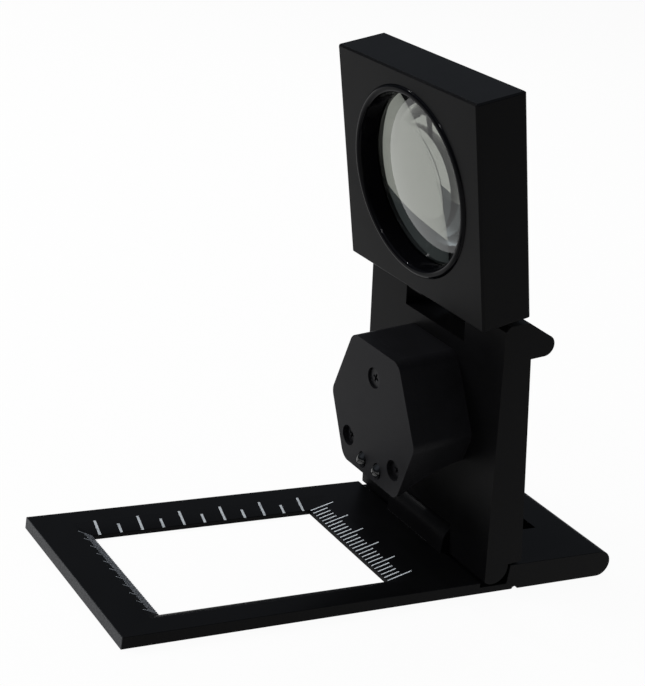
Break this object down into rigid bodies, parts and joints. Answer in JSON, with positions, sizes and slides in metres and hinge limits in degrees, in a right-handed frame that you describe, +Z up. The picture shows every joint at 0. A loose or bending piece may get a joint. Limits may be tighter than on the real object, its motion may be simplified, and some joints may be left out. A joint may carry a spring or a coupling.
{
  "type": "linen tester",
  "caption": "Folding linen tester with a bevelled graduated window, a lens in a hinged square frame and a small lamp housing on the upright",
  "frame": {"origin": "centre of the base's flat underside; the base's front edge and its rear end are equally far from it", "axes": "+X across towards the side that faces the camera in the picture, -Y towards the window and the front edge, +Y towards the hinge, +Z up"},
  "size_m": [0.038, 0.0904, 0.0826],
  "materials": {
    "black_enamel": "satin",
    "link_enamel": "satin",
    "ring_enamel": "gloss",
    "scale_paint": "matte",
    "fine_scale_paint": "matte",
    "pin_steel": "satin",
    "black_screw": "satin",
    "housing_plastic": "satin",
    "clear_bulb": "gloss",
    "clear_glass": "gloss",
    "board": "satin",
    "cell_steel": "satin",
    "contact_brass": "satin"
  },
  "bodies": {
    "base": {"base_plate": "black_enamel", "cross_scale": "scale_paint", "side_scale": "scale_paint", "front_scale": "fine_scale_paint", "base_hinge_pin": "pin_steel"},
    "stand": {"upright_plate": "black_enamel", "link_pin": "pin_steel", "lamp_housing": "housing_plastic", "lamp_cover": "housing_plastic", "cover_screws": "black_screw", "housing_screws": "black_screw", "lamp_bulbs": "clear_bulb", "circuit_board": "board", "coin_cells": "cell_steel", "rear_contact": "contact_brass", "front_contact": "contact_brass", "switch_contact": "contact_brass"},
    "switch": {"switch_knob": "housing_plastic"},
    "link": {"hinge_link": "link_enamel"},
    "lens_block": {"lens_frame": "black_enamel", "lens_pin": "pin_steel", "lens_ring": "ring_enamel", "lens": "clear_glass"}
  },
  "joints": [
    {"name": "base_fold", "type": "hinge", "parent": "base", "child": "stand", "pos_m": [0, 0.0205, 0.0041], "axis": [1, 0, 0], "range_deg": [0, 82]},
    {"name": "lens_fold", "type": "hinge", "parent": "stand", "child": "link", "pos_m": [0, 0.02097, 0.04315], "axis": [1, 0, 0], "range_deg": [-180, 0]},
    {"name": "lens_tilt", "type": "hinge", "parent": "link", "child": "lens_block", "pos_m": [0, 0.01488, 0.04481], "axis": [1, 0, 0], "range_deg": [-7, 83]},
    {"name": "switch_slide", "type": "slide", "parent": "stand", "child": "switch", "axis": [0, -0.9903, -0.1392], "range_m": [0, 0.002]}
  ],
  "couplings": [
    {"joint": "lens_fold", "follows": "base_fold", "ratio": -2.1951}
  ]
}
